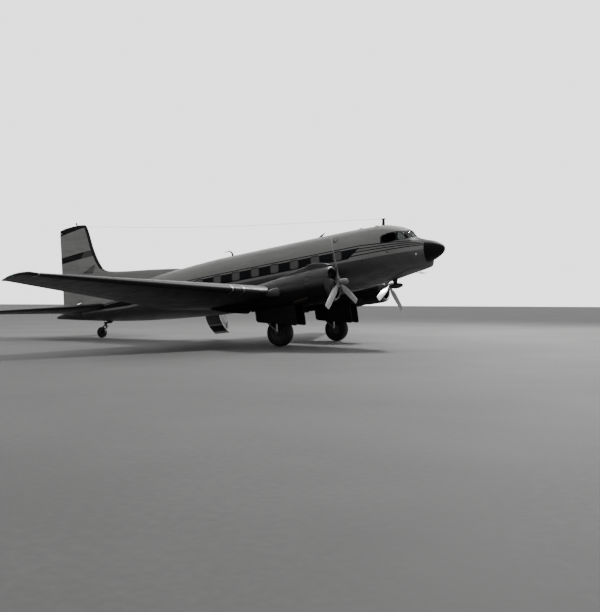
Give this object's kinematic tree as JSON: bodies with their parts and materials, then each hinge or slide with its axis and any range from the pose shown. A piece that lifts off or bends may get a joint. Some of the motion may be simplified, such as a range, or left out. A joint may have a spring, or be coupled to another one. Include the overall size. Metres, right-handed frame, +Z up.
{
  "type": "twin-engined propeller airliner",
  "caption": "Low-wing propeller airliner with tail-wheel gear, radial engines, hollow flight deck, moving control surfaces, split flaps, rolling wheels and an open rear airstair door.",
  "frame": {"origin": "centre of the bounding box on the ground, with the aircraft parked nose-up on its three wheels", "axes": "+X towards the nose, +Y towards the left wing tip, +Z up"},
  "size_m": [20.4752, 27.43, 5.6819],
  "materials": {
    "painted_skin": "light semi-gloss paint over aluminium skin",
    "bare_metal": "weathered bare aluminium skin",
    "black_coating": "matt black neoprene coating",
    "window_glass": "clear",
    "cockpit_paint": "matt grey-green",
    "black_panel": "matt black",
    "seat_cloth": "woven",
    "engine_steel": "dark oily castings",
    "propeller_alloy": "satin",
    "gear_steel": "grey paint",
    "wheel_alloy": "painted casting",
    "tyre_rubber": "worn rubber"
  },
  "bodies": {
    "airframe": {"nose_section": "painted_skin", "radome": "black_coating", "flight_deck_glass": "window_glass", "flight_deck_floor": "cockpit_paint", "instrument_panel": "black_panel", "seat_right": "seat_cloth", "seat_left": "seat_cloth", "control_column_right": "black_panel", "control_column_left": "black_panel", "cabin_section": "painted_skin", "tail_section": "painted_skin", "tail_cone": "bare_metal", "wing_centre": "bare_metal", "wing_outer_right": "bare_metal", "wing_outer_left": "bare_metal", "wing_tip_right": "black_coating", "wing_tip_left": "black_coating", "tailplane_right": "bare_metal", "tailplane_left": "bare_metal", "fin": "painted_skin", "nacelle_right": "bare_metal", "nacelle_left": "bare_metal", "cowl_right": "bare_metal", "cowl_left": "bare_metal", "engine_right": "engine_steel", "engine_left": "engine_steel", "gear_legs_right": "gear_steel", "gear_legs_left": "gear_steel", "gear_brace_right": "gear_steel", "gear_brace_left": "gear_steel", "gear_door_inner_right": "bare_metal", "gear_door_outer_right": "bare_metal", "gear_door_inner_left": "bare_metal", "gear_door_outer_left": "bare_metal", "tail_strut": "gear_steel", "antenna_mast": "black_panel", "loop_antenna": "black_coating"},
    "propeller_right": {"propeller_right": "propeller_alloy"},
    "propeller_left": {"propeller_left": "propeller_alloy"},
    "main_wheel_right": {"main_wheel_right": "wheel_alloy", "main_tyre_right": "tyre_rubber"},
    "main_wheel_left": {"main_wheel_left": "wheel_alloy", "main_tyre_left": "tyre_rubber"},
    "tail_fork": {"tail_fork": "gear_steel"},
    "tail_wheel": {"tail_wheel": "wheel_alloy", "tail_tyre": "tyre_rubber"},
    "rudder": {"rudder": "painted_skin"},
    "elevators": {"elevator_right": "bare_metal", "elevator_left": "bare_metal"},
    "aileron_right": {"aileron_right": "bare_metal"},
    "aileron_left": {"aileron_left": "bare_metal"},
    "flap_inner_right": {"flap_inner_right": "bare_metal"},
    "flap_inner_left": {"flap_inner_left": "bare_metal"},
    "flap_outer_right": {"flap_outer_right": "bare_metal"},
    "flap_outer_left": {"flap_outer_left": "bare_metal"},
    "airstair_door": {"airstair_door": "painted_skin"}
  },
  "joints": [
    {"name": "propeller_right_spin", "type": "hinge", "parent": "airframe", "child": "propeller_right", "pos_m": [6.82102, -2.847, 2.56655], "axis": [0.9877, 0, 0.1564], "continuous": true},
    {"name": "propeller_left_spin", "type": "hinge", "parent": "airframe", "child": "propeller_left", "pos_m": [6.82102, 2.847, 2.56655], "axis": [0.9877, 0, 0.1564], "continuous": true},
    {"name": "main_wheel_right_spin", "type": "hinge", "parent": "airframe", "child": "main_wheel_right", "pos_m": [4.25192, -2.82, 0.5559], "axis": [0, 1, 0], "continuous": true},
    {"name": "main_wheel_left_spin", "type": "hinge", "parent": "airframe", "child": "main_wheel_left", "pos_m": [4.25192, 2.82, 0.5559], "axis": [0, 1, 0], "continuous": true},
    {"name": "tail_fork_swivel", "type": "hinge", "parent": "airframe", "child": "tail_fork", "pos_m": [-7.08508, 0, 0.61614], "axis": [-0.1564, 0, 0.9877], "continuous": true},
    {"name": "tail_wheel_spin", "type": "hinge", "parent": "tail_fork", "child": "tail_wheel", "pos_m": [-7.32322, 0, 0.2659], "axis": [0, 1, 0], "continuous": true},
    {"name": "rudder_turn", "type": "hinge", "parent": "airframe", "child": "rudder", "pos_m": [-8.53445, 0, 1.84048], "axis": [-0.1564, 0, 0.9877], "range_deg": [-30, 30]},
    {"name": "elevators_turn", "type": "hinge", "parent": "airframe", "child": "elevators", "pos_m": [-8.68325, 0, 1.30972], "axis": [0, 1, 0], "range_deg": [-20, 25]},
    {"name": "aileron_right_turn", "type": "hinge", "parent": "airframe", "child": "aileron_right", "pos_m": [0.68611, -8.05, 2.04208], "axis": [0.0713, 0.9938, -0.0853], "range_deg": [-22, 22]},
    {"name": "aileron_left_turn", "type": "hinge", "parent": "airframe", "child": "aileron_left", "pos_m": [0.68611, 8.05, 2.04208], "axis": [-0.0713, 0.9938, 0.0853], "range_deg": [-22, 22]},
    {"name": "flap_inner_right_turn", "type": "hinge", "parent": "airframe", "child": "flap_inner_right", "pos_m": [0.91934, -1.5, 1.53268], "axis": [0, -1, 0], "range_deg": [0, 45]},
    {"name": "flap_inner_left_turn", "type": "hinge", "parent": "airframe", "child": "flap_inner_left", "pos_m": [0.91934, 1.5, 1.53268], "axis": [0, -1, 0], "range_deg": [0, 45]},
    {"name": "flap_outer_right_turn", "type": "hinge", "parent": "airframe", "child": "flap_outer_right", "pos_m": [0.91519, -4.35, 1.53884], "axis": [-0.0687, -0.9924, 0.1019], "range_deg": [0, 45]},
    {"name": "flap_outer_left_turn", "type": "hinge", "parent": "airframe", "child": "flap_outer_left", "pos_m": [0.91519, 4.35, 1.53884], "axis": [0.0687, -0.9924, -0.1019], "range_deg": [0, 45]},
    {"name": "airstair_swing", "type": "hinge", "parent": "airframe", "child": "airstair_door", "pos_m": [-1.46593, 0.88561, 1.44741], "axis": [0.9877, 0, 0.1564], "range_deg": [0, 140]}
  ],
  "couplings": [
    {"joint": "aileron_left_turn", "follows": "aileron_right_turn", "ratio": -1},
    {"joint": "flap_inner_left_turn", "follows": "flap_inner_right_turn", "ratio": 1},
    {"joint": "flap_outer_right_turn", "follows": "flap_inner_right_turn", "ratio": 1},
    {"joint": "flap_outer_left_turn", "follows": "flap_inner_right_turn", "ratio": 1}
  ]
}
